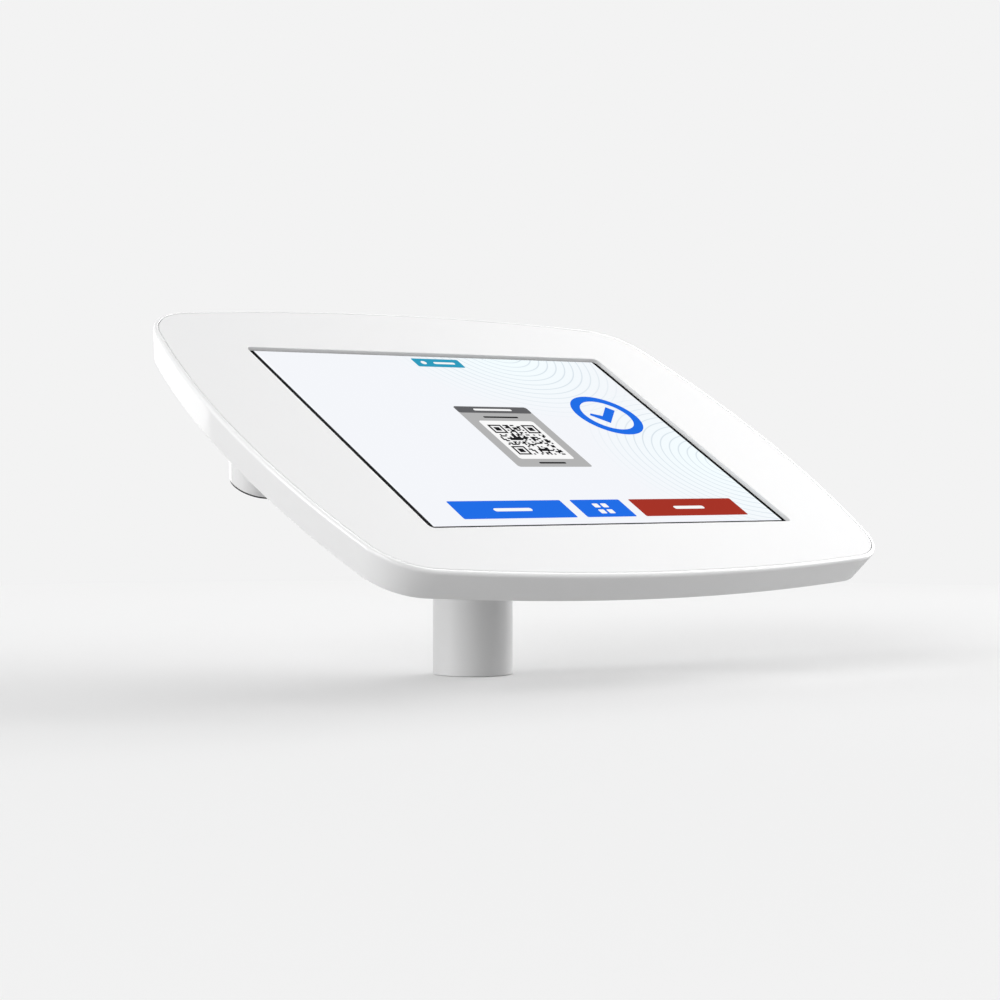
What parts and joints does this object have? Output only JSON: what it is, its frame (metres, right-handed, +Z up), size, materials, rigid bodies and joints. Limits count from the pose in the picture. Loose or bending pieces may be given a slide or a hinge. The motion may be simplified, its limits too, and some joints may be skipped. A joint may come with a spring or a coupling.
{
  "type": "tablet kiosk stand",
  "caption": "Counter kiosk stand: a tilted white tray with bowed edges frames a tablet behind a flat faceplate, key-locked from below and turning on a short round post bolted to the counter.",
  "frame": {"origin": "on the post's axis at the counter top, the centre of the three fixing holes", "axes": "+Z up, +X to the user's right, +Y away from the user"},
  "size_m": [0.3186, 0.2153, 0.1743],
  "materials": {
    "white_tray": "satin white moulding",
    "white_face": "satin white sheet",
    "white_paint": "white powder coat",
    "plain_steel": "zinc plated",
    "dark_metal": "black lock, satin",
    "bearing_plastic": "plain",
    "black_rubber": "matte",
    "grey_foam": "closed-cell foam",
    "tablet_metal": "bead-blasted",
    "tablet_glass": "black-bordered cover glass, shown opaque",
    "lit_screen": "lit panel",
    "dark_plastic": "plain",
    "circuit_board": "plain"
  },
  "bodies": {
    "counter_base": {"base_spigot": "plain_steel", "thrust_washer": "bearing_plastic", "stop_pin": "plain_steel", "spring_washer": "plain_steel", "retaining_ring": "plain_steel"},
    "kiosk_head": {"post_tube": "white_paint", "lower_bush": "bearing_plastic", "upper_bush": "bearing_plastic", "head_plate": "white_paint", "head_screws": "plain_steel", "rear_tray": "white_tray", "cable_grommet": "black_rubber", "foam_cradle": "grey_foam", "faceplate": "white_face", "screen_gasket": "black_rubber", "hook_tabs": "plain_steel", "latch_keeper": "plain_steel", "tablet_housing": "tablet_metal", "tablet_glass": "tablet_glass", "display_panel": "lit_screen", "battery_cells": "dark_plastic", "logic_board": "circuit_board", "lock_barrel": "dark_metal", "lock_nut": "plain_steel"},
    "lock": {"lock_plug": "dark_metal", "lock_cam": "plain_steel", "cam_screw": "plain_steel"},
    "sleep_key": {"sleep_button": "tablet_metal"},
    "volume_up_key": {"volume_up_button": "tablet_metal"},
    "volume_down_key": {"volume_down_button": "tablet_metal"},
    "home_key": {"home_button": "dark_plastic"}
  },
  "joints": [
    {"name": "swivel", "type": "hinge", "parent": "counter_base", "child": "kiosk_head", "pos_m": [0, 0, 0], "axis": [0, 0, 1], "range_deg": [-165, 165]},
    {"name": "lock_turn", "type": "hinge", "parent": "kiosk_head", "child": "lock", "pos_m": [-0.1395, -0.0367, 0.1137], "axis": [0, 0.5, -0.866], "range_deg": [0, 90]},
    {"name": "sleep_press", "type": "slide", "parent": "kiosk_head", "child": "sleep_key", "axis": [1, 0, 0], "range_m": [0, 0.0004], "stiffness_N_per_m": 800, "springref_m": -0.0005},
    {"name": "volume_up_press", "type": "slide", "parent": "kiosk_head", "child": "volume_up_key", "axis": [0, -0.866, -0.5], "range_m": [0, 0.0004], "stiffness_N_per_m": 800, "springref_m": -0.0005},
    {"name": "volume_down_press", "type": "slide", "parent": "kiosk_head", "child": "volume_down_key", "axis": [0, -0.866, -0.5], "range_m": [0, 0.0004], "stiffness_N_per_m": 800, "springref_m": -0.0005},
    {"name": "home_press", "type": "slide", "parent": "kiosk_head", "child": "home_key", "axis": [0, 0.5, -0.866], "range_m": [0, 0.0003], "stiffness_N_per_m": 800, "springref_m": -0.0005}
  ]
}
